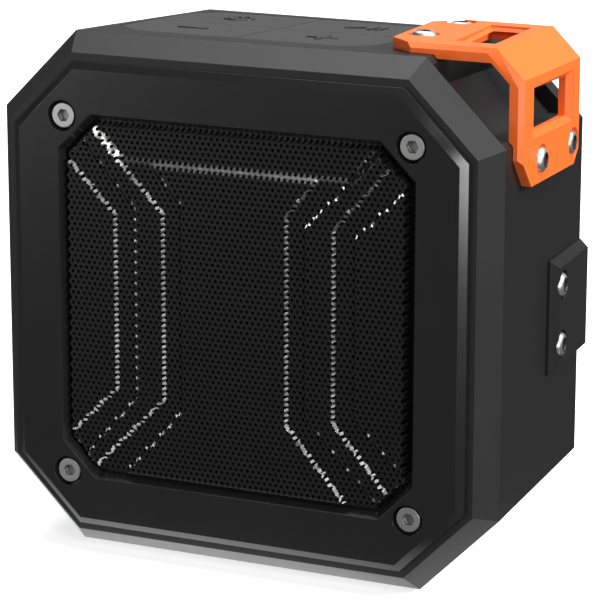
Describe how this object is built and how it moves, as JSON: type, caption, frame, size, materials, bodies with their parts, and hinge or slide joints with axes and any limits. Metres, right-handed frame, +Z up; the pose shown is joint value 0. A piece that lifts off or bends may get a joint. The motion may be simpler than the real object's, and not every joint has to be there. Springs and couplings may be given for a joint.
{
  "type": "portable speaker",
  "caption": "Rugged portable wireless speaker: octagonal front with a grooved perforated grille, bolted bezel, orange corner guard with windows, top keypad and side plate.",
  "frame": {"origin": "on the ground under the middle of the body, midway between the front frame and the back cover", "axes": "+X to the right seen from the front, +Y to the back, +Z up"},
  "size_m": [0.102, 0.0542, 0.1008],
  "materials": {
    "body_plastic": "satin moulded plastic, near black",
    "shell_plastic": "satin moulded plastic, charcoal",
    "bezel_plastic": "smooth satin plastic",
    "orange_plastic": "satin moulded orange plastic",
    "perforated_steel": "powder-coated perforated sheet",
    "cloth": "black acoustic cloth",
    "screw_steel": "bright plated steel",
    "plain_steel": "zinc-plated steel",
    "key_rubber": "satin silicone rubber",
    "seal_rubber": "grey seal rubber",
    "black_rubber": "black rubber",
    "circuit_board": "green solder resist",
    "dark_plastic": "dark inner plastic",
    "alloy": "cast or pressed alloy",
    "ferrite": "dark ferrite",
    "paper_cone": "coated paper cone",
    "copper": "enamelled copper wire",
    "spider_cloth": "resin-set cloth",
    "brass_tag": "tinned brass",
    "red_wire": "red wire insulation",
    "cell_wrap": "blue shrink wrap"
  },
  "bodies": {
    "case": {"housing": "body_plastic", "front_shell": "shell_plastic", "front_seal": "seal_rubber", "bezel": "bezel_plastic", "grille": "perforated_steel", "grille_cloth": "cloth", "bezel_screws": "screw_steel", "corner_guard": "orange_plastic", "guard_top_screws": "screw_steel", "guard_side_screws": "screw_steel", "side_plate": "body_plastic", "side_plate_screws": "screw_steel", "keypad_mat": "black_rubber", "key_board": "circuit_board", "key_switches": "plain_steel", "key_board_screws": "plain_steel", "back_cover": "body_plastic", "back_seal": "seal_rubber", "back_cover_screws": "screw_steel", "radiator_guard": "body_plastic", "radiator_frame": "dark_plastic", "radiator_surround": "black_rubber", "radiator_screws": "plain_steel", "driver_basket": "alloy", "driver_gasket": "black_rubber", "driver_screws": "plain_steel", "driver_top_plate": "plain_steel", "driver_magnet": "ferrite", "driver_yoke": "plain_steel", "driver_surround": "black_rubber", "driver_spider": "spider_cloth", "driver_terminals": "brass_tag", "speaker_leads": "red_wire", "main_board": "circuit_board", "board_screws": "plain_steel", "bluetooth_module": "plain_steel", "amplifier": "dark_plastic", "usb_socket": "plain_steel", "aux_socket": "dark_plastic", "card_slot": "plain_steel", "battery_pack": "cell_wrap", "battery_tray": "dark_plastic", "battery_leads": "red_wire", "foot_strips": "black_rubber"},
    "minus_key": {"key_minus": "key_rubber", "plunger_minus": "dark_plastic"},
    "plus_key": {"key_plus": "key_rubber", "plunger_plus": "dark_plastic"},
    "power_key": {"key_power": "key_rubber", "plunger_power": "dark_plastic"},
    "play_key": {"key_play": "key_rubber", "plunger_play": "dark_plastic"},
    "cone": {"driver_cone": "paper_cone", "voice_coil": "copper", "dust_cap": "paper_cone"},
    "radiator": {"radiator_plate": "alloy"},
    "flap": {"port_flap": "black_rubber"}
  },
  "joints": [
    {"name": "minus_press", "type": "slide", "parent": "case", "child": "minus_key", "axis": [0, 0.0541, 0.9985], "range_m": [-0.0003, 0], "stiffness_N_per_m": 400, "springref_m": 0.0003},
    {"name": "plus_press", "type": "slide", "parent": "case", "child": "plus_key", "axis": [0, 0.0541, 0.9985], "range_m": [-0.0003, 0], "stiffness_N_per_m": 400, "springref_m": 0.0003},
    {"name": "power_press", "type": "slide", "parent": "case", "child": "power_key", "axis": [0, 0.0541, 0.9985], "range_m": [-0.0003, 0], "stiffness_N_per_m": 400, "springref_m": 0.0003},
    {"name": "play_press", "type": "slide", "parent": "case", "child": "play_key", "axis": [0, 0.0541, 0.9985], "range_m": [-0.0003, 0], "stiffness_N_per_m": 400, "springref_m": 0.0003},
    {"name": "cone_travel", "type": "slide", "parent": "case", "child": "cone", "axis": [0, 1, 0], "range_m": [-0.0012, 0.0012], "stiffness_N_per_m": 1500, "deforming": ["driver_surround", "driver_spider"]},
    {"name": "radiator_travel", "type": "slide", "parent": "case", "child": "radiator", "axis": [0, 1, 0], "range_m": [-0.0012, 0.0012], "stiffness_N_per_m": 1200, "deforming": ["radiator_surround"]},
    {"name": "flap_open", "type": "hinge", "parent": "case", "child": "flap", "pos_m": [-0.04717, 0.00187, 0.0702], "axis": [-0.0665, -0.9978, 0], "range_deg": [0, 90]}
  ]
}
